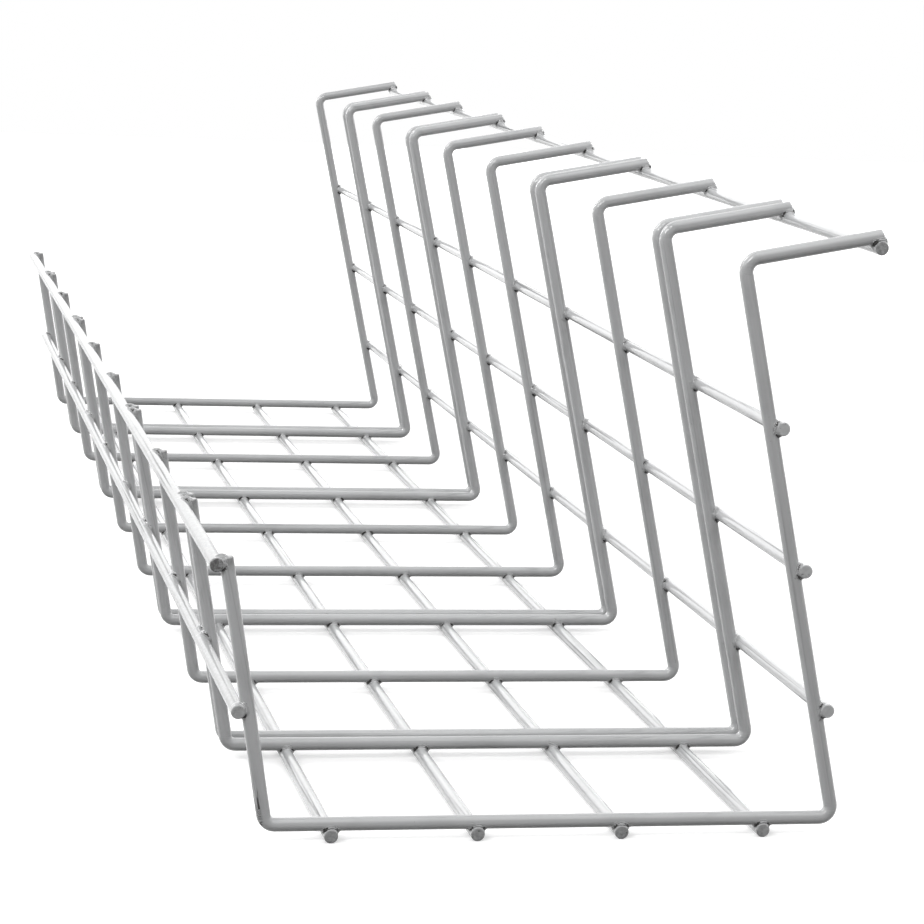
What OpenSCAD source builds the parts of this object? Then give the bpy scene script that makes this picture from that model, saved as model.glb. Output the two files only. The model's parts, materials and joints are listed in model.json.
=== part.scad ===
// Welded wire mesh cable basket with a J-shaped section.
// X runs across the section, from the short lip to the tall wall.
// Y runs along the basket, Z is up, and the bottom wires rest on Z = 0.

/* [Wires] */
// Diameter of the bent cross wires
cross_wire_d = 4.8; // [4:0.1:6]
// Diameter of the straight long wires
long_wire_d = 4.8; // [4:0.1:6]
// Depth that two wires sink into each other at a weld
weld_set = 1.2; // [0.4:0.05:1.6]
// Diameter of the collar of metal squeezed out around a weld
weld_collar_d = 6; // [5.4:0.1:7]
// Chamfer on the cut ends of the wires
end_chamfer = 0.35; // [0.1:0.05:0.8]

/* [Mesh] */
// Spacing of the long wires, centre to centre
mesh_w = 50; // [36:1:56]
// Spacing of the cross wires, centre to centre
mesh_l = 100; // [60:1:150]
// Clear gap between the two cross wires at positions 2, 4, 7 and 9
pair_gap = 5.2; // [4.5:0.1:12]
// Length of each long wire past the centre of the end cross wire
long_end = 3; // [2.6:0.1:25]

/* [Section] */
// Width of the bottom, between the corners of its two bends
bottom_w = 197.5; // [186:0.5:260]
// Height of the tall wall, between the corners of its two bends
wall_h = 197; // [165:1:260]
// Height of the lip, from its bend's corner to its top wire
lip_h = 90.5; // [75:0.5:130]
// Width of the flange, from its bend's corner to its long wire
flange_w = 47; // [25:0.5:80]
// Length of each cross wire past the centre of the last long wire
cross_end = 1.6; // [0.5:0.1:8]
// Inward lean of the tall wall, in degrees
wall_lean = 13; // [0:0.5:18]
// Outward lean of the lip, in degrees
lip_lean = 10; // [0:0.5:18]
// Upward slope of the flange, in degrees
flange_rise = 11; // [0:0.5:18]
// Inside radius of the two bottom bends
bottom_bend_r = 1.5; // [1.2:0.1:5]
// Inside radius of the bend below the flange
flange_bend_r = 2.4; // [1.2:0.1:6]
// How much thinner a cross wire is drawn in its bends, on its diameter
bend_thin = 0.06; // [0.04:0.01:0.3]

/* [Wire places] */
// Distance from the lip's bend to the first bottom wire
bottom_first = 22; // [15:0.5:24]
// Distance from the bottom bend to the lowest wall wire
wall_first = 38.5; // [18:0.5:40]

/* [Hidden] */
$fn = 48;
positions = 10;
seat = (cross_wire_d + long_wire_d) / 2 - weld_set;   // centre to centre at a weld
pair_step = pair_gap + cross_wire_d;   // the second wire of a pair stands on its inner side
long_l = (positions - 1) * mesh_l + 2 * long_end;
r_low = bottom_bend_r + cross_wire_d / 2;
r_top = flange_bend_r + cross_wire_d / 2;
lap = 0.1;   // length that a straight runs on into a bend, over its thinner wire

// Directions of the section's four legs, in degrees from +Z towards +X
a_lip = 180 - lip_lean;
a_bottom = 90;
a_wall = -wall_lean;
a_flange = 90 - flange_rise;
// Unit vectors [x, z] along a leg, and out of the basket at right angles to it
function along(a) = [sin(a), cos(a)];
function outward(a) = [cos(a), -sin(a)];

// Corners of the cross wire's centre line, before the section is centred
c_lip = [0, long_wire_d / 2 + seat];
c_wall = c_lip + bottom_w * along(a_bottom);
c_flange = c_wall + wall_h * along(a_wall);
tip_lip = c_lip - (lip_h + cross_end) * along(a_lip);
tip_flange = c_flange + (flange_w + cross_end) * along(a_flange);

// A weld is [place on the cross wire's centre line, direction of its leg]
bottom_welds = [for (i = [0:3]) [c_lip + (bottom_first + i * mesh_w) * along(a_bottom), a_bottom]];
wall_welds = [for (i = [0:2]) [c_wall + (wall_first + i * mesh_w) * along(a_wall), a_wall]];
lip_welds = [for (i = [1:-1:0]) [c_lip - (lip_h - i * mesh_w) * along(a_lip), a_lip]];
flange_weld = [c_flange + flange_w * along(a_flange), a_flange];
welds = concat(bottom_welds, wall_welds, lip_welds, [flange_weld]);

// Centre of the long wire at a weld, always on the outside of the cross wire
function long_at(w) = w[0] + seat * outward(w[1]);

// The section is centred on X = 0
x_low = min(long_at(lip_welds[1])[0] - long_wire_d / 2,
            tip_lip[0] - cross_wire_d / 2 * cos(lip_lean));
x_high = max(long_at(flange_weld)[0] + long_wire_d / 2,
             tip_flange[0] + cross_wire_d / 2 * sin(flange_rise),
             long_at(wall_welds[0])[0] + long_wire_d / 2);
x_mid = (x_low + x_high) / 2;

// Y of a position along the basket, numbered from the front end
function y_at(i) = (i - (positions + 1) / 2) * mesh_l;

// Puts its children at a point [x, z] of the section
module at(p) {
  translate([p[0] - x_mid, 0, p[1]]) children();
}

// A straight round wire from the origin along +Z, chamfered where it is cut
module straight(l, d, cut_start, cut_end) {
  r = d / 2;
  rotate_extrude()
    polygon(concat([[0, 0]],
                   cut_start ? [[r - end_chamfer, 0], [r, end_chamfer]] : [[r, 0]],
                   cut_end ? [[r, l - end_chamfer], [r - end_chamfer, l]] : [[r, l]],
                   [[0, l]]));
}

// A bend from the origin, leaving +X to the left, or to the right if turn < 0
module bend(r, turn) {
  mirror([0, turn < 0 ? 1 : 0, 0])
    translate([0, r, 0]) rotate([0, 0, -90])
      rotate_extrude(angle = abs(turn)) translate([r, 0]) circle(d = cross_wire_d - bend_thin);
}

// Carries its children to the far end of a bend
module after_bend(r, turn) {
  translate([r * sin(abs(turn)), sign(turn) * r * (1 - cos(turn)), 0])
    rotate([0, 0, turn]) children();
}

// Straights and bends in turn: legs[i] runs between corners, turns[i] follows it
module bent_wire(legs, turns, radii, i = 0) {
  t_in = i > 0 ? radii[i - 1] * tan(abs(turns[i - 1]) / 2) : 0;
  t_out = i < len(turns) ? radii[i] * tan(abs(turns[i]) / 2) : 0;
  run = legs[i] - t_in - t_out;
  lap_in = i > 0 ? lap : 0;
  lap_out = i < len(turns) ? lap : 0;
  translate([-lap_in, 0, 0]) rotate([0, 90, 0])
    straight(run + lap_in + lap_out, cross_wire_d, i == 0, i == len(turns));
  if (i < len(turns))
    translate([run, 0, 0]) {
      bend(radii[i], turns[i]);
      after_bend(radii[i], turns[i]) bent_wire(legs, turns, radii, i + 1);
    }
}

// The J-shaped run of one cross wire, from the lip's top to the flange's edge
module j_wire() {
  at(tip_lip) rotate([90, 0, 0]) rotate([0, 0, 90 - a_lip])
    bent_wire([lip_h + cross_end, bottom_w, wall_h, flange_w + cross_end],
              [a_lip - a_bottom, a_bottom - a_wall, a_wall - a_flange],
              [r_low, r_low, r_top]);
}

// Metal squeezed out around each weld, centred where the two wires meet
module weld_collars() {
  for (w = welds)
    at(w[0] + (cross_wire_d - weld_set) / 2 * outward(w[1]))
      rotate([0, w[1], 0]) sphere(d = weld_collar_d);
}

// The space that every long wire takes at a cross wire
module long_wire_seats() {
  for (w = welds)
    at(long_at(w)) rotate([90, 0, 0])
      cylinder(d = long_wire_d, h = 4 * cross_wire_d, center = true);
}

// One cross wire, with a collar and a seat at each weld
module cross_wire(y) {
  color("silver") translate([0, y, 0]) difference() {
    union() {
      j_wire();
      weld_collars();
    }
    long_wire_seats();
  }
}

// One long wire
module long_wire(weld) {
  color("gainsboro") translate([0, long_l / 2, 0]) at(long_at(weld)) rotate([90, 0, 0])
    straight(long_l, long_wire_d, true, true);
}

module cross_wire_01() { cross_wire(y_at(1)); }
module cross_wire_02a() { cross_wire(y_at(2)); }
module cross_wire_02b() { cross_wire(y_at(2) + pair_step); }
module cross_wire_03() { cross_wire(y_at(3)); }
module cross_wire_04a() { cross_wire(y_at(4)); }
module cross_wire_04b() { cross_wire(y_at(4) + pair_step); }
module cross_wire_05() { cross_wire(y_at(5)); }
module cross_wire_06() { cross_wire(y_at(6)); }
module cross_wire_07a() { cross_wire(y_at(7) - pair_step); }
module cross_wire_07b() { cross_wire(y_at(7)); }
module cross_wire_08() { cross_wire(y_at(8)); }
module cross_wire_09a() { cross_wire(y_at(9) - pair_step); }
module cross_wire_09b() { cross_wire(y_at(9)); }
module cross_wire_10() { cross_wire(y_at(10)); }
module bottom_wire_1() { long_wire(bottom_welds[0]); }
module bottom_wire_2() { long_wire(bottom_welds[1]); }
module bottom_wire_3() { long_wire(bottom_welds[2]); }
module bottom_wire_4() { long_wire(bottom_welds[3]); }
module wall_wire_1() { long_wire(wall_welds[0]); }
module wall_wire_2() { long_wire(wall_welds[1]); }
module wall_wire_3() { long_wire(wall_welds[2]); }
module lip_wire_1() { long_wire(lip_welds[0]); }
module lip_wire_2() { long_wire(lip_welds[1]); }
module flange_wire() { long_wire(flange_weld); }

cross_wire_01();
cross_wire_02a();
cross_wire_02b();
cross_wire_03();
cross_wire_04a();
cross_wire_04b();
cross_wire_05();
cross_wire_06();
cross_wire_07a();
cross_wire_07b();
cross_wire_08();
cross_wire_09a();
cross_wire_09b();
cross_wire_10();
bottom_wire_1();
bottom_wire_2();
bottom_wire_3();
bottom_wire_4();
wall_wire_1();
wall_wire_2();
wall_wire_3();
lip_wire_1();
lip_wire_2();
flange_wire();
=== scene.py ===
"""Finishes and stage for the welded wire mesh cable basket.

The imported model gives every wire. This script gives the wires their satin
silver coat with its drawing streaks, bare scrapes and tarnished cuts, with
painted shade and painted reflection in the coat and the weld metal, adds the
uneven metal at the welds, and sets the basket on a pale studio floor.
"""

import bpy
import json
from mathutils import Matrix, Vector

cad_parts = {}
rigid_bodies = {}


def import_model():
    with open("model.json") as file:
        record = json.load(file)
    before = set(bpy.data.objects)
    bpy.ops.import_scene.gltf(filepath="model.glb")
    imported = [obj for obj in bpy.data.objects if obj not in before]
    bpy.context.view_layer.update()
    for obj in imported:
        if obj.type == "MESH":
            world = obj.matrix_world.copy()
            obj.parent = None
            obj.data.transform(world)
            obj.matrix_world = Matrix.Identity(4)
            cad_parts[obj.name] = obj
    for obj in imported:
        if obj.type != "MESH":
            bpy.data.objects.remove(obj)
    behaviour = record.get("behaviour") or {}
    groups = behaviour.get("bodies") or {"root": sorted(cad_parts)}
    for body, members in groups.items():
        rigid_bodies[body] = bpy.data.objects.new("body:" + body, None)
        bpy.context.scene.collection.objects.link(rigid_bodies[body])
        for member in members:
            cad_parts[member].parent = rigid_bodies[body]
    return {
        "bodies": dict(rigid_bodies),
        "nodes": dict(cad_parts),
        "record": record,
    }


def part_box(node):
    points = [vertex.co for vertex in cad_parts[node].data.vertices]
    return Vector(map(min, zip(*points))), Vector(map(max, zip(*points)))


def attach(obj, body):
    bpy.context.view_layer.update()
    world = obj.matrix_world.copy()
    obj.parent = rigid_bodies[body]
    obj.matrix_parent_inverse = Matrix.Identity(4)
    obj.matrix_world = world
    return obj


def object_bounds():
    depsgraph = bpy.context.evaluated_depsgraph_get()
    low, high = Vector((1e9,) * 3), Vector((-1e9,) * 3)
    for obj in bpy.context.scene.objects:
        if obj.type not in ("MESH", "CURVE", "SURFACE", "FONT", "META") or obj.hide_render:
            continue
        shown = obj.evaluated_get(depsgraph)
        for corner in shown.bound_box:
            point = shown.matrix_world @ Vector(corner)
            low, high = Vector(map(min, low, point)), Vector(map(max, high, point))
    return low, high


bl_info = {
    "name": "Wire Mesh Cable Basket",
    "version": (1, 0, 0),
    "blender": (4, 5, 0),
    "location": "View3D > Sidebar > Cable Basket",
    "description": "Silver coat, weld metal and studio for a wire mesh cable basket",
    "category": "Object",
}

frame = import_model()

import json
import math

import bpy
import numpy as np
from mathutils import Matrix, Quaternion, Vector

CAD_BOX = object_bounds()
CROSS_WIRES = sorted(n for n in frame["nodes"] if n.startswith("cross_wire"))
LONG_WIRES = sorted(n for n in frame["nodes"] if not n.startswith("cross_wire"))
COAT_COLOUR = tuple(frame["record"]["materials"][0]["base_color"][:3])
MM = 0.001
WHITE = (1.0, 1.0, 1.0)


# ----------------------------------------------------------------- sizes


class BasketWireSizes(bpy.types.PropertyGroup):
    """Sizes of the wires where they meet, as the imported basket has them."""

    radius: bpy.props.FloatProperty(
        name="Wire radius", description="Radius of the cross wires and long wires",
        default=2.4 * MM, subtype="DISTANCE", unit="LENGTH")
    seat: bpy.props.FloatProperty(
        name="Seat", description="Distance between two wires' centre lines at a weld",
        default=3.6 * MM, subtype="DISTANCE", unit="LENGTH")
    cross_end: bpy.props.FloatProperty(
        name="Cross wire end", description="Cross wire past the last weld's centre",
        default=1.6 * MM, subtype="DISTANCE", unit="LENGTH")
    wall_lean: bpy.props.FloatProperty(
        name="Wall lean", description="Inward lean of the tall wall",
        default=math.radians(13.0), subtype="ANGLE", unit="ROTATION")
    lip_lean: bpy.props.FloatProperty(
        name="Lip lean", description="Outward lean of the lip",
        default=math.radians(10.0), subtype="ANGLE", unit="ROTATION")
    flange_rise: bpy.props.FloatProperty(
        name="Flange rise", description="Upward slope of the flange",
        default=math.radians(11.0), subtype="ANGLE", unit="ROTATION")


class BasketWeldSizes(bpy.types.PropertyGroup):
    """Sizes of the metal squeezed out at the welds."""

    fillet: bpy.props.FloatProperty(
        name="Fillet",
        description="Width over which the metal of two wires runs together",
        default=1.3 * MM, subtype="DISTANCE", unit="LENGTH")
    collar: bpy.props.FloatProperty(
        name="Collar", description="Least distance of the metal from a weld's centre",
        default=3.05 * MM, subtype="DISTANCE", unit="LENGTH")
    reach: bpy.props.FloatProperty(
        name="Reach", description="Greatest distance of the metal from a weld's centre",
        default=4.1 * MM, subtype="DISTANCE", unit="LENGTH")
    unevenness: bpy.props.FloatProperty(
        name="Unevenness", description="How far lumps stand out of the metal",
        default=0.28 * MM, subtype="DISTANCE", unit="LENGTH")
    seed: bpy.props.IntProperty(
        name="Seed", description="Start of the random draws for the welds", default=11)


class BasketCoatLook(bpy.types.PropertyGroup):
    """Colours of the coat and of the marks in it."""

    coat: bpy.props.FloatVectorProperty(
        name="Coat", description="Colour of the silver coat", size=3,
        subtype="COLOR", default=COAT_COLOUR, min=0.0, max=1.0)
    # Also the colour of the painted reflection bands along the wires, and of the soot in
    # the weld metal, which is partly painted shade.
    streak: bpy.props.FloatVectorProperty(
        name="Streak", description="Colour of the drawing streaks in the coat", size=3,
        subtype="COLOR", default=(0.20, 0.203, 0.206), min=0.0, max=1.0)
    # Also the colour of painted shade: the darkened lip wires, the cut faces' darkening by
    # place and the lower corners of the welds.
    scorch: bpy.props.FloatVectorProperty(
        name="Scorch", description="Colour of the burnt pits round a weld", size=3,
        subtype="COLOR", default=(0.05, 0.048, 0.046), min=0.0, max=1.0)
    roughness: bpy.props.FloatProperty(
        name="Roughness", description="Roughness of the coat under its gloss",
        default=0.48, min=0.0, max=1.0, subtype="FACTOR")
    sharpness: bpy.props.FloatProperty(
        name="Gloss roughness",
        description="Roughness of the clear gloss over the coat",
        default=0.07, min=0.0, max=1.0, subtype="FACTOR")


class BasketStageLook(bpy.types.PropertyGroup):
    """The studio and the camera."""

    azimuth: bpy.props.FloatProperty(
        name="Azimuth", description="Turn of the camera round the basket",
        default=math.radians(-12.175), subtype="ANGLE", unit="ROTATION")
    elevation: bpy.props.FloatProperty(
        name="Elevation", description="Angle of the camera above the horizon",
        default=math.radians(9.794), subtype="ANGLE", unit="ROTATION")
    roll: bpy.props.FloatProperty(
        name="Roll", description="Turn of the camera about its own view line",
        default=math.radians(2.767), subtype="ANGLE", unit="ROTATION")
    distance: bpy.props.FloatProperty(
        name="Distance", description="Distance of the camera from the basket's centre",
        default=1.4364, subtype="DISTANCE", unit="LENGTH")
    slide: bpy.props.FloatProperty(
        name="Slide", description="Sideways place of the camera, to its right",
        default=0.0634, subtype="DISTANCE", unit="LENGTH")
    rise: bpy.props.FloatProperty(
        name="Rise", description="Place of the camera along its own upward direction",
        default=-0.0552, subtype="DISTANCE", unit="LENGTH")
    lens: bpy.props.FloatProperty(
        name="Lens", description="Focal length in millimetres on a 36 mm sensor",
        default=117.56)
    floor: bpy.props.FloatVectorProperty(
        name="Floor", description="Colour of the studio floor", size=3,
        subtype="COLOR", default=(0.72, 0.72, 0.72), min=0.0, max=1.0)


# ------------------------------------------------------------- materials


COAT_IOR = 1.3  # low, because the gloss over the coat does the mirroring


class Number:
    """A number in a material. Python's arithmetic on it adds the Math nodes."""

    def __init__(self, finish, socket):
        self.finish = finish
        self.socket = socket

    def _with(self, operation, *values):
        """The result of a Math node on the values."""
        return self.finish.node("ShaderNodeMath", {"operation": operation}, *values)[0]

    def __add__(self, other):
        return self._with("ADD", self, other)

    def __sub__(self, other):
        return self._with("SUBTRACT", self, other)

    def __mul__(self, other):
        return self._with("MULTIPLY", self, other)

    def __radd__(self, other):
        return self._with("ADD", other, self)

    def __rsub__(self, other):
        return self._with("SUBTRACT", other, self)

    def __rmul__(self, other):
        return self._with("MULTIPLY", other, self)

    def __abs__(self):
        return self._with("ABSOLUTE", self)

    def wave(self):
        """Cosine, lifted and scaled to 0 to 1."""
        return self._with("COSINE", self) * 0.5 + 0.5

    def most(self, other):
        """The larger of two numbers."""
        return self._with("MAXIMUM", self, other)

    def step(self, start, end, low=0.0, high=1.0):
        """Smooth step from low at start to high at end."""
        return self.finish.node(
            "ShaderNodeMapRange", {"interpolation_type": "SMOOTHSTEP"},
            self, start, end, low, high)[0]


class Finish:
    """A material or world under construction."""

    def __init__(self, owner):
        owner.use_nodes = True
        self.owner = owner
        self.tree = owner.node_tree
        self.tree.nodes.clear()

    def node(self, kind, settings=None, *values, **named):
        """Adds a node: its settings first, then its sockets in order or by name.

        Returns its outputs as numbers that arithmetic works on.
        """
        made = self.tree.nodes.new(kind)
        for key, value in (settings or {}).items():
            setattr(made, key, value)
        usable = [s for s in made.inputs if s.enabled]
        for socket, value in zip(usable, values):
            self._feed(socket, value)
        for name, value in named.items():
            label = name.replace("_", " ")
            self._feed(next(s for s in usable if s.name == label), value)
        return [Number(self, s) for s in made.outputs if s.enabled]

    def _feed(self, socket, value):
        """Links a number to a socket, or sets the socket to a plain value."""
        if isinstance(value, Number):
            self.tree.links.new(value.socket, socket)
        elif value is not None:
            if socket.type == "RGBA" and len(value) == 3:
                value = (*value, 1.0)
            socket.default_value = value

    def place(self):
        """The point on the piece, in metres."""
        _generated, _normal, _uv, point, *_rest = self.node("ShaderNodeTexCoord")
        return point

    def direction(self):
        """The direction in which a world is seen."""
        direction, *_rest = self.node("ShaderNodeTexCoord")
        return direction

    def parts(self, vector):
        """The three numbers of a vector."""
        return self.node("ShaderNodeSeparateXYZ", None, vector)

    def vector(self, x, y, z):
        """A vector of three numbers."""
        return self.node("ShaderNodeCombineXYZ", None, x, y, z)[0]

    def seen(self):
        """1 for camera, glossy and transmission rays, 0 for those that only light."""
        camera, _shadow, _diffuse, glossy, _singular, _reflection, through, *_rest = (
            self.node("ShaderNodeLightPath"))
        return camera.most(glossy).most(through)

    def noise(self, vector, scale, detail, roughness):
        """Noise about 0.5, with scale waves a metre where the vector is in metres."""
        return self.node("ShaderNodeTexNoise", None, Vector=vector, Scale=scale,
                         Detail=detail, Roughness=roughness)[0]

    def mix(self, factor, a, b):
        """Colour a where factor is 0 and b where it is 1."""
        return self.node("ShaderNodeMix", {"data_type": "RGBA"}, factor, a, b)[0]

    def bump(self, height, distance, strength=1.0):
        """Shading normal of a height from 0 to 1 that stands distance metres tall."""
        return self.node("ShaderNodeBump", None, Strength=strength,
                         Distance=distance, Height=height)[0]

    def surface(self, shader):
        """Ends the material or world with a shader."""
        out = self.tree.nodes.new(
            "ShaderNodeOutputWorld" if isinstance(self.owner, bpy.types.World)
            else "ShaderNodeOutputMaterial")
        self.tree.links.new(shader.socket, out.inputs["Surface"])


def wire_coat(name, look, gleam, streaking, marks):
    """Silver coat on drawn wire, with a clear gloss over it.

    marks(x, y, z) gives two numbers that change across the wire and one that
    changes along it, so that the drawing streaks follow the wire, then a mask of
    the bare scrapes and one of the tarnished parts and of painted shade. That mask
    also takes the gloss off and makes the coat grainy. Broad darker bands along
    the wire are painted reflection, standing in for the changing mirror image in
    the coat. gleam is how strongly the gloss mirrors light, as its refractive
    index. streaking is how much of the coat the drawing streaks take away.
    """
    material = bpy.data.materials.new(name)
    finish = Finish(material)
    point = finish.place()
    u, v, w, scrape, cut = marks(*finish.parts(point))

    def drawn(over, along, detail=3.0, roughness=0.6):
        """Noise drawn out along the wire, with its waves a metre over and along it."""
        return finish.noise(finish.vector(u * over, v * over, w * along), 1.0,
                            detail, roughness)

    # The third noise gives broad darker bands along the wire: painted reflection, standing
    # in for the changing mirror image in the coat.
    streaks, rubs, painted_reflection_bands = drawn(950, 6), drawn(2400, 90), drawn(420, 4, 2.0, 0.5)
    cloud = finish.noise(point, 55.0, 3.0, 0.55)
    grain = finish.noise(point, 800.0, 3.0, 0.6)
    lines = streaks.step(0.60, 0.68)
    scraped = scrape * rubs.step(0.47, 0.56)
    # Grainy tarnish on the cut faces and the burnt tips, together with painted shade: the
    # lip's wires and the cut faces are also darkened by place.
    tarnish_and_shade = cut * grain.step(0.30, 0.62, 0.4, 1.0)
    specks = grain.step(0.70, 0.78) * 0.35
    shade = (lines * streaking + cloud.step(0.5, 0.8) * 0.2
             + painted_reflection_bands.step(0.42, 0.62) * 0.16)
    colour = finish.mix(shade, look.coat, look.streak)
    colour = finish.mix(specks, colour, look.scorch)
    colour = finish.mix(scraped.most(tarnish_and_shade), colour, look.scorch)
    gloss = (1 - lines * streaking) * (1 - scraped.most(cut))
    relief = streaks * 0.5 + grain * 0.5 + cut * grain
    relief_height, relief_strength = 0.1 * MM, 0.3
    shader = finish.node(
        "ShaderNodeBsdfPrincipled", None, Base_Color=colour, Metallic=0.0,
        IOR=COAT_IOR, Roughness=look.roughness + cloud * 0.12 + lines * 0.1,
        Coat_Weight=gloss, Coat_Roughness=look.sharpness, Coat_IOR=gleam,
        Normal=finish.bump(relief, relief_height, relief_strength))[0]
    finish.surface(shader)
    return material


TO_LIP = (-90 * MM, -95 * MM)  # where along x the lip's own marks come in


def long_wire_marks(x, y, z):
    """Directions and marks of a long wire, for its coat.

    The cut faces are tarnished, and painted shade darkens them further by place:
    the bottom's more than the wall's, the flange's and the lip's top wire's most.
    That top wire is also burnt along its last few millimetres. The lip's wires
    lose some gloss and are painted darker all along, as painted shade.
    """
    end = CAD_BOX[1][1]
    lip_wire = x.step(*TO_LIP)
    lip_top_wire = z.step(80 * MM, 85 * MM) * lip_wire
    # Painted shade: how much darker each cut face is painted, by where it is.
    at_bottom = z.step(12 * MM, -2 * MM, 0.1, 0.62)
    at_lip_side = x.step(-80 * MM, -95 * MM) * 0.24
    at_flange = z.step(190 * MM, 200 * MM) * 0.5
    tarnish_and_shade_by_place = at_bottom + lip_top_wire * 0.5 + at_lip_side + at_flange
    cut_face = abs(y).step(end - 0.3 * MM, end - 0.1 * MM)
    burnt_end = abs(y).step(end - 4 * MM, end - 1 * MM) * lip_top_wire * 0.6
    # Painted shade: the lip's wires are painted darker all along, and lose some gloss.
    lip_dull_and_shade = lip_wire * 0.28
    no_scrape = 0.0
    return x, z, y, no_scrape, burnt_end.most(cut_face * tarnish_and_shade_by_place).most(lip_dull_and_shade)


def cross_wire_marks(x, y, z):
    """Directions and marks of a cross wire, for its coat.

    The streaks turn with the section at the bottom's bends and at the flange's.
    The foremost wire is scraped on the outer side of the lip's bend, and the tips
    of the lip are tarnished.
    """
    wires = bpy.context.scene.basket_wires
    start = CAD_BOX[0][1]
    flange = z.step(193 * MM, 197 * MM)
    upright = z.step(8 * MM, 12 * MM) * (1 - flange)
    across_wall = x * math.cos(wires.wall_lean) + z * math.sin(wires.wall_lean)
    across_level = z - x * flange * math.tan(wires.flange_rise)
    depth = across_wall * upright + across_level * (1 - upright)
    along = x * (1 - upright) + z * upright
    past_lip = (x + z * math.tan(wires.lip_lean)) * -1
    foremost = y.step(start + 7 * MM, start + 5 * MM)
    outer_side = past_lip.step(89.6 * MM, 90.6 * MM)
    low_down = z.step(26 * MM, 12 * MM)
    tip = x.step(*TO_LIP) * z.step(90.5 * MM, 96.5 * MM) * 0.5
    return y, depth, along, foremost * outer_side * low_down, tip


def weld_metal(name, look):
    """Squeezed-out weld metal: the coat over wrinkles, with burnt pits in the creases.

    The piece's attributes say how burnt each point is, from 0 up, and how many
    millimetres it has risen off the long wire. The burnt value also carries painted
    shade, which darkens a weld's lower corners more than its upper ones.
    """
    material = bpy.data.materials.new(name)
    finish = Finish(material)
    point = finish.place()
    burn, rise = (
        finish.node("ShaderNodeAttribute", {"attribute_name": key})[2]
        for key in ("burn", "rise"))
    grain = finish.noise(point, 750.0, 2.0, 0.6)
    fine = finish.noise(point, 2100.0, 2.0, 0.5)
    # Pits and soot follow the burnt value, which is partly painted shade that darkens each
    # weld's lower corners.
    pits = (burn * 0.85 + fine * 1.1 + grain * 0.7 - 0.95).step(0.26, 0.40)
    ripples = (rise * 11.0 + grain * 7.0).wave()
    soot_and_shade = burn.step(0.15, 0.9) * 0.45 + ripples * 0.12
    colour = finish.mix(soot_and_shade, look.coat, look.streak)
    colour = finish.mix(pits, colour, look.scorch)
    relief = grain + fine * 0.4 - ripples * 0.35 - pits * 0.8
    relief_height = 0.7 * MM
    shader = finish.node(
        "ShaderNodeBsdfPrincipled", None, Base_Color=colour, Metallic=0.0,
        IOR=COAT_IOR, Roughness=0.32 + fine * 0.2, Coat_Weight=1 - pits * 0.8,
        Coat_Roughness=look.sharpness, Normal=finish.bump(relief, relief_height))[0]
    finish.surface(shader)
    return material


def studio_floor(name, look):
    """Pale matt floor that keeps the shadow and runs out white where it is seen.

    Light that bounces softly meets a duller floor, so that the undersides of the
    wires stay as dark as they are over an open studio floor.
    """
    dullness = 0.08
    glow_from, glow_to, faint, full = 0.8, 2.4, 0.4, 1.0
    material = bpy.data.materials.new(name)
    finish = Finish(material)
    dull_colour = [c * dullness for c in look.floor]
    dull = finish.node("ShaderNodeBsdfDiffuse", None, dull_colour)[0]
    matt = finish.node("ShaderNodeBsdfDiffuse", None, look.floor)[0]
    outwards = finish.node(
        "ShaderNodeVectorMath", {"operation": "LENGTH"}, finish.place())[0]
    strength = outwards.step(glow_from, glow_to, faint, full)
    glow = finish.node("ShaderNodeEmission", None, WHITE, strength)[0]
    bright = finish.node("ShaderNodeAddShader", None, matt, glow)[0]
    finish.surface(
        finish.node("ShaderNodeMixShader", None, finish.seen(), dull, bright)[0])
    return material


def white_room(name):
    """White room, brighter behind the basket and overhead than at the camera's side."""
    front_level, back_gain, overhead_gain = 0.07, 0.85, 0.06
    world = bpy.data.worlds.new(name)
    finish = Finish(world)
    _x, back, high = finish.parts(finish.direction())
    seen = finish.seen()
    level = front_level + back_gain * back.step(-0.3, 0.8) + overhead_gain * high
    strength = level * (1 - seen) + seen
    finish.surface(finish.node("ShaderNodeBackground", None, WHITE, strength)[0])
    return world


# ---------------------------------------------------------------- shapes


def middle(node):
    """Centre of a node's box."""
    low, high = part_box(node)
    return (np.array(low) + np.array(high)) / 2


def leg_directions(wires):
    """Unit vectors [along the leg, out of the basket] of each part of the section."""
    turns = {"bottom": math.pi / 2, "wall": -wires.wall_lean,
             "lip": math.pi - wires.lip_lean, "flange": math.pi / 2 - wires.flange_rise}
    return {part: (np.array([math.sin(a), 0.0, math.cos(a)]),
                   np.array([math.cos(a), 0.0, -math.sin(a)]))
            for part, a in turns.items()}


def crossings(part, wires):
    """Welds of one part of the section, those of one long wire after another.

    A weld's centre lies halfway between the centre lines of its two wires. The
    free length of each wire past the weld is given both ways along it, as a metre
    where the wire runs on.
    """
    along, outward = leg_directions(wires)[part]
    rows = np.array([middle(n)[1] for n in CROSS_WIRES])
    low, high = CAD_BOX
    runs_on = 1.0
    centres, cross_free, long_free = [], [], []
    for name in (n for n in LONG_WIRES if n.startswith(part)):
        spot = middle(name) - outward * wires.seat / 2
        centres.append(np.stack([np.full(len(rows), spot[0]), rows,
                                 np.full(len(rows), spot[2])], axis=1))
        forward = wires.cross_end if name == "flange_wire" else runs_on
        backward = wires.cross_end if name == "lip_wire_2" else runs_on
        cross_free.append(np.tile([backward, forward], (len(rows), 1)))
        long_free.append(np.stack([rows - low[1], high[1] - rows], axis=1))
    return (np.concatenate(centres), np.concatenate(cross_free),
            np.concatenate(long_free), along, outward)


def soft_least(a, b, width):
    """The smaller of two distances, run together over a width, as a fillet does."""
    share = np.clip(0.5 + 0.5 * (b - a) / width, 0, 1)
    return b + (a - b) * share - width * share * (1 - share)


def soft_most(a, b, width):
    """The larger of two distances, rounded off over a width."""
    return -soft_least(-a, -b, width)


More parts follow.
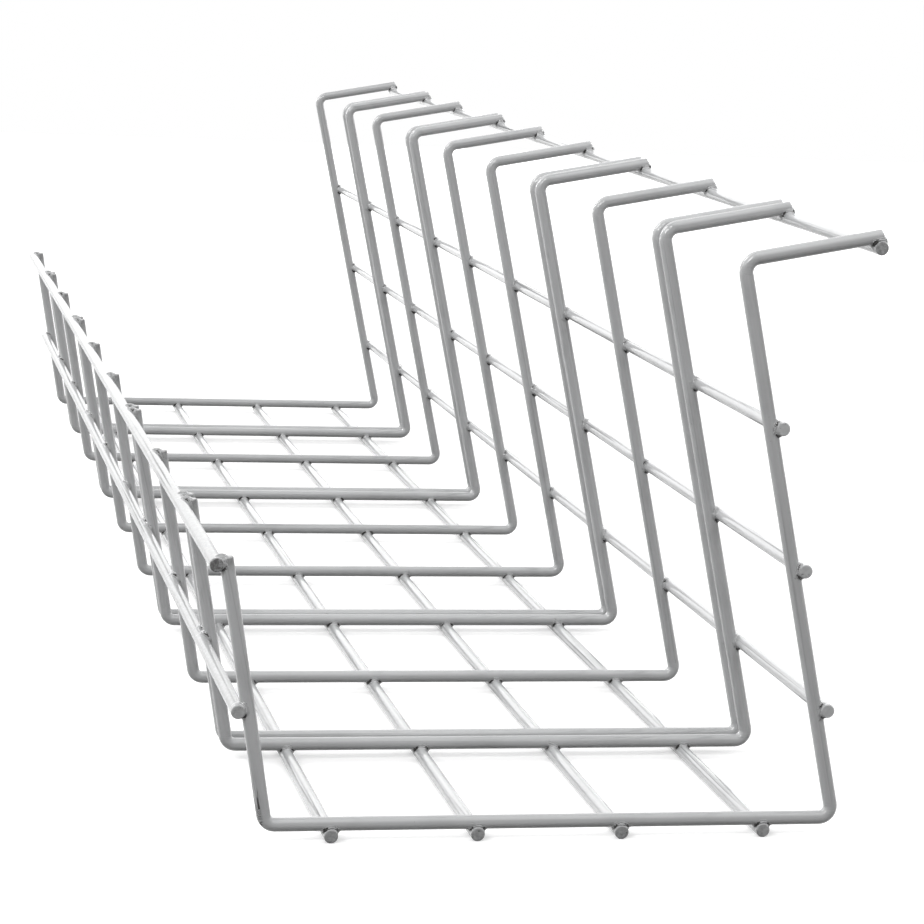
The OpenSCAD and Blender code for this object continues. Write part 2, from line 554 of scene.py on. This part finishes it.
def closed_balls(count, rings, sides, flip):
    """Faces of `count` closed ball grids: quads between rings, fans at the poles.

    A ball's points are its rings in turn, then its first and its last pole. The
    faces are turned over where the grid's axes are left-handed.
    """
    ring, side = np.meshgrid(np.arange(rings - 1), np.arange(sides), indexing="ij")
    after = (side + 1) % sides
    quads = np.stack([ring * sides + side, ring * sides + after,
                      (ring + 1) * sides + after, (ring + 1) * sides + side],
                     axis=-1).reshape(-1, 4)
    around = np.arange(sides)
    nxt = (around + 1) % sides
    last = (rings - 1) * sides
    low = np.stack([nxt, around, np.full(sides, rings * sides)], axis=1)
    high = np.stack([last + around, last + nxt,
                     np.full(sides, rings * sides + 1)], axis=1)
    shift = (np.arange(count) * (rings * sides + 2))[:, None, None]
    quads = (quads[None] + shift).reshape(-1, 4)
    fans = (np.concatenate([low, high])[None] + shift).reshape(-1, 3)
    return (quads[:, ::-1], fans[:, ::-1]) if flip else (quads, fans)


def add_object(name, data):
    """New object for a mesh, lamp or camera, linked to the scene."""
    made = bpy.data.objects.new(name, data)
    bpy.context.scene.collection.objects.link(made)
    return made


def mesh_piece(name, points, quads, fans, material, values):
    """Makes a smooth piece of arrays of points, quads, triangles and attributes."""
    mesh = bpy.data.meshes.new(name)
    mesh.from_pydata(points.tolist(), [], quads.tolist() + fans.tolist())
    mesh.polygons.foreach_set("use_smooth", np.ones(len(mesh.polygons), dtype=bool))
    for key, value in values.items():
        mesh.attributes.new(key, "FLOAT", "POINT").data.foreach_set(
            "value", value.astype(np.float32))
    mesh.update()
    piece = add_object(name, mesh)
    mesh.materials.append(material)
    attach(piece, "root")


def waves(turn, rise, draw, count, orders):
    """Smooth random wave over a ball of directions, about -1 to 1, for each weld.

    It is a sum of cosines of whole multiples of the turn, each with its own phase
    that also shifts with the rise, so it closes on itself.
    """
    shape = (count, len(orders), 1, 1)
    order = np.array(orders)[None, :, None, None]
    phase = draw.uniform(0, 2 * math.pi, shape)
    lift = draw.uniform(-3.0, 3.0, shape)
    size = draw.uniform(0.4, 1.0, shape) / len(orders) * 1.6
    return (size * np.cos(order * turn + phase + lift * rise)).sum(axis=1)


def corner_burn_and_shade(turn, upward, draw, count):
    """How burnt each direction round a weld is, before the crease is picked out.

    It is a sum of bell curves of the turn, one at each of the four corners between
    the wires, each with its own strength and spread. Corners at the front are
    stronger. Corners on a leg's lower side are stronger too, the more its direction
    points upward, and those on its upper side weaker: this part is painted shade,
    dark where less light falls.
    """
    corner = np.radians([45, 135, 225, 315])[None, :, None, None]
    front = np.maximum(-np.sin(corner), 0) * 0.35
    strength = draw.uniform(0.4, 1.1, (count, 4, 1, 1)) + front
    # Painted shade: a weld's lower corners are darkened, its upper corners less so.
    strength = strength - 0.75 * upward * np.cos(corner)
    spread = draw.uniform(0.25, 0.5, (count, 4, 1, 1))
    away = (turn - corner + math.pi) % (2 * math.pi) - math.pi
    return (strength * np.exp(-(away / spread) ** 2)).sum(axis=1)


def weld_surface(part, wires, sizes):
    """Metal that has run together round every weld of one part of the section.

    Turn and rise on the grid give a direction from the weld's centre, turn about
    the outward axis. A point lies in that direction where the soft least of the
    distances to the two wires is nought, at least a collar's radius out and at
    most the reach. It stops short of a long wire's cut end and a little past a
    cross wire's. Lumps shift the distance, which is found by halving. Each point
    also has two values: how burnt it is, with painted shade on the lower corners,
    and as its rise its distance from the long wire in millimetres. The crease is
    where the two wires are equally near.
    """
    centres, cross_free, long_free, along, outward = crossings(part, wires)
    side = np.array([0.0, 1.0, 0.0])
    draw = np.random.default_rng([sizes.seed, len(part)])
    rings, sides, count = 20, 36, len(centres)
    rise = (np.linspace(-1, 1, rings + 2)[1:-1] * math.pi / 2)[None, :, None]
    turn = (np.arange(sides) * 2 * math.pi / sides)[None, None, :]
    a, b, h = (np.cos(rise) * np.cos(turn), np.cos(rise) * np.sin(turn),
               np.sin(rise) + 0 * turn)
    lumps = waves(turn, rise, draw, count, (3, 5, 7)) * sizes.unevenness
    lumps = lumps * np.where(h > 0, 1.0, np.abs(a))
    width = sizes.fillet * (1 + 0.35 * waves(turn, rise, draw, count, (1, 2, 4)))
    depth = wires.seat / 2
    inset, rounding = 0.03 * MM, 0.8 * MM

    def distances(r):
        """Distances to the cross wire and to the long wire, r out from the centre."""
        cross = np.hypot(r * b, r * h + depth) - wires.radius
        cross = soft_most(cross, r * a - cross_free[:, 1, None, None], rounding)
        cross = soft_most(cross, -r * a - cross_free[:, 0, None, None], rounding)
        long = np.hypot(r * a, r * h - depth) - wires.radius
        long = soft_most(long, r * b - long_free[:, 1, None, None], rounding)
        long = soft_most(long, -r * b - long_free[:, 0, None, None], rounding)
        return cross, long

    near = np.full((count, rings, sides), 0.5 * MM)
    far = np.full((count, rings, sides), sizes.reach)
    for _ in range(24):
        half = (near + far) / 2
        inside = soft_least(*distances(half), width) + inset - lumps * 0.5 < 0
        near, far = np.where(inside, half, near), np.where(inside, far, half)
    radius = np.maximum(far, sizes.collar + np.abs(lumps) * 0.8)

    set_back, overhang, sideways = 0.1 * MM, 0.8 * MM, 1e-6
    for free, way in ((long_free[:, 0], -b), (long_free[:, 1], b)):
        radius = np.minimum(radius, np.maximum(free - set_back, 0)[:, None, None]
                            / np.maximum(way, sideways))
    for free, way in ((cross_free[:, 0], -a), (cross_free[:, 1], a)):
        radius = np.minimum(radius, (free + overhang)[:, None, None]
                            / np.maximum(way, sideways))

    cross, long = distances(radius)
    crease_width = 1.3 * MM
    crease = np.clip(1 - np.abs(cross - long) / crease_width, 0, 1)
    burn = crease * corner_burn_and_shade(turn, along[2], draw, count)

    grid = (centres[:, None, None, :] + (radius * a)[..., None] * along
            + (radius * b)[..., None] * side + (radius * h)[..., None] * outward)
    pole_height = sizes.reach * 0.8
    poles = centres[:, None, :] + np.array([-1.0, 1.0])[None, :, None] * (
        pole_height * outward)
    points = np.concatenate([grid.reshape(count, -1, 3), poles], axis=1).reshape(-1, 3)
    at_poles = np.zeros((count, 2))
    values = {key: np.concatenate([value.reshape(count, -1), at_poles], axis=1).ravel()
              for key, value in (("burn", burn), ("rise", long / MM))}
    flip = np.dot(np.cross(along, side), outward) < 0
    return points, *closed_balls(count, rings, sides, flip), values


# ----------------------------------------------------------------- stage


# Name, place, width and height in metres, power in watts, turn about its own axis.
SOFT_LAMPS = (
    ("key_softbox", (0.9, -1.3, 2.5), 2.4, 2.4, 30.0, 0.0),
    ("left_softbox", (-2.3, -0.3, 1.7), 2.4, 1.6, 12.0, 0.0),
    ("top_softbox", (-1.5, 0.55, 1.75), 0.8, 0.8, 18.0, 0.0),
    ("front_softbox", (-1.2, -1.7, 1.6), 1.5, 0.36, 27.0, math.radians(45)),
    ("right_softbox", (2.4, -0.7, 1.2), 1.6, 1.2, 9.0, 0.0),
    ("left_strip", (-2.1, 1.5, 0.9), 0.12, 1.6, 14.0, 0.0),
    ("right_strip", (2.0, 1.3, 1.0), 0.45, 1.2, 14.0, 0.0),
    ("back_softbox", (0.0, 3.0, 0.9), 3.2, 1.6, 14.0, 0.0),
)
LAMP_AIM = Vector((0, 0, 0.08))
FLOOR_HALF = 2.9  # half the floor's side, in metres


def soft_lamp(name, place, width, height, power, roll):
    """Rectangular soft lamp that faces the basket and isn't seen itself."""
    lamp = bpy.data.lights.new(name, "AREA")
    lamp.shape = "RECTANGLE"
    lamp.size, lamp.size_y = width, height
    lamp.energy = power
    holder = add_object(name, lamp)
    holder.location = place
    holder.visible_camera = False
    facing = (LAMP_AIM - Vector(place)).to_track_quat("-Z", "Y")
    holder.rotation_euler = (facing @ Quaternion((0, 0, 1), roll)).to_euler()


def stage_camera(name, look, centre):
    """Camera that looks at a point from the look's angles, distance and shifts."""
    camera = bpy.data.cameras.new(name)
    camera.sensor_width = 36.0
    camera.lens = look.lens
    camera.clip_end = 50.0
    back = Vector((math.sin(look.azimuth) * math.cos(look.elevation),
                   -math.cos(look.azimuth) * math.cos(look.elevation),
                   math.sin(look.elevation)))
    level = Vector((math.cos(look.azimuth), math.sin(look.azimuth), 0))
    upright = back.cross(level)
    right = level * math.cos(look.roll) + upright * math.sin(look.roll)
    up = upright * math.cos(look.roll) - level * math.sin(look.roll)
    place = centre + back * look.distance + right * look.slide + up * look.rise
    turn = Matrix((right, up, back)).transposed().to_4x4()
    holder = add_object(name, camera)
    holder.matrix_world = Matrix.Translation(place) @ turn
    return holder


# ------------------------------------------------------------- operators


class BasketAddCoat(bpy.types.Operator):
    """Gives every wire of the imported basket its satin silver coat."""

    bl_idname = "basket.add_coat"
    bl_label = "Coat the Wires"

    def execute(self, context):
        look = context.scene.basket_coat
        on_long = wire_coat("silver_coat_long", look, 1.7, 0.8, long_wire_marks)
        on_cross = wire_coat("silver_coat_cross", look, 1.5, 0.3, cross_wire_marks)
        for name, node in frame["nodes"].items():
            node.data.materials.clear()
            node.data.materials.append(on_cross if name in CROSS_WIRES else on_long)
        return {"FINISHED"}


class BasketAddWelds(bpy.types.Operator):
    """Adds the uneven squeezed-out metal at every weld."""

    bl_idname = "basket.add_welds"
    bl_label = "Add Weld Metal"

    def execute(self, context):
        scene = context.scene
        material = weld_metal("weld_metal", scene.basket_coat)
        for part in ("bottom", "wall", "lip", "flange"):
            points, quads, fans, values = weld_surface(
                part, scene.basket_wires, scene.basket_welds)
            mesh_piece(part + "_weld_metal", points, quads, fans, material, values)
        return {"FINISHED"}


class BasketAddStage(bpy.types.Operator):
    """Adds the studio floor, the soft lamps and the camera."""

    bl_idname = "basket.add_stage"
    bl_label = "Add Studio"

    def execute(self, context):
        scene = context.scene
        look = scene.basket_stage
        low, high = CAD_BOX
        mesh = bpy.data.meshes.new("studio_floor")
        mesh.from_pydata([(x * FLOOR_HALF, y * FLOOR_HALF, 0)
                          for x, y in ((-1, -1), (1, -1), (1, 1), (-1, 1))],
                         [], [(0, 1, 2, 3)])
        floor = add_object("studio_floor", mesh)
        mesh.materials.append(studio_floor("studio_floor", look))
        for lamp in SOFT_LAMPS:
            soft_lamp(*lamp)
        scene.world = white_room("white_room")
        scene.camera = stage_camera("camera", look, (Vector(low) + Vector(high)) / 2)
        scene.view_settings.view_transform = "Standard"
        return {"FINISHED"}


class BasketPanel(bpy.types.Panel):
    """Sidebar panel with the basket's steps."""

    bl_idname = "VIEW3D_PT_basket"
    bl_label = "Cable Basket"
    bl_space_type = "VIEW_3D"
    bl_region_type = "UI"
    bl_category = "Cable Basket"

    def draw(self, context):
        for step in STEPS:
            self.layout.operator(step.bl_idname)


# ---------------------------------------------------------- registration


STEPS = (BasketAddCoat, BasketAddWelds, BasketAddStage)
LOOKS = {"basket_wires": BasketWireSizes, "basket_welds": BasketWeldSizes,
         "basket_coat": BasketCoatLook, "basket_stage": BasketStageLook}


def register():
    """Adds the sizes and looks to the scene, then the steps and the panel."""
    for look in LOOKS.values():
        bpy.utils.register_class(look)
    for name, look in LOOKS.items():
        setattr(bpy.types.Scene, name, bpy.props.PointerProperty(type=look))
    for made in (*STEPS, BasketPanel):
        bpy.utils.register_class(made)


def unregister():
    """Takes away what register adds, in the opposite order."""
    for made in (BasketPanel, *reversed(STEPS)):
        bpy.utils.unregister_class(made)
    for name in LOOKS:
        delattr(bpy.types.Scene, name)
    for look in reversed(list(LOOKS.values())):
        bpy.utils.unregister_class(look)


def main():
    kept = set(frame["nodes"].values()) | set(frame["bodies"].values())
    for leftover in [o for o in bpy.data.objects if o not in kept]:
        bpy.data.objects.remove(leftover)
    register()
    bpy.ops.basket.add_coat()
    bpy.ops.basket.add_welds()
    bpy.ops.basket.add_stage()


if __name__ == "__main__":
    main()
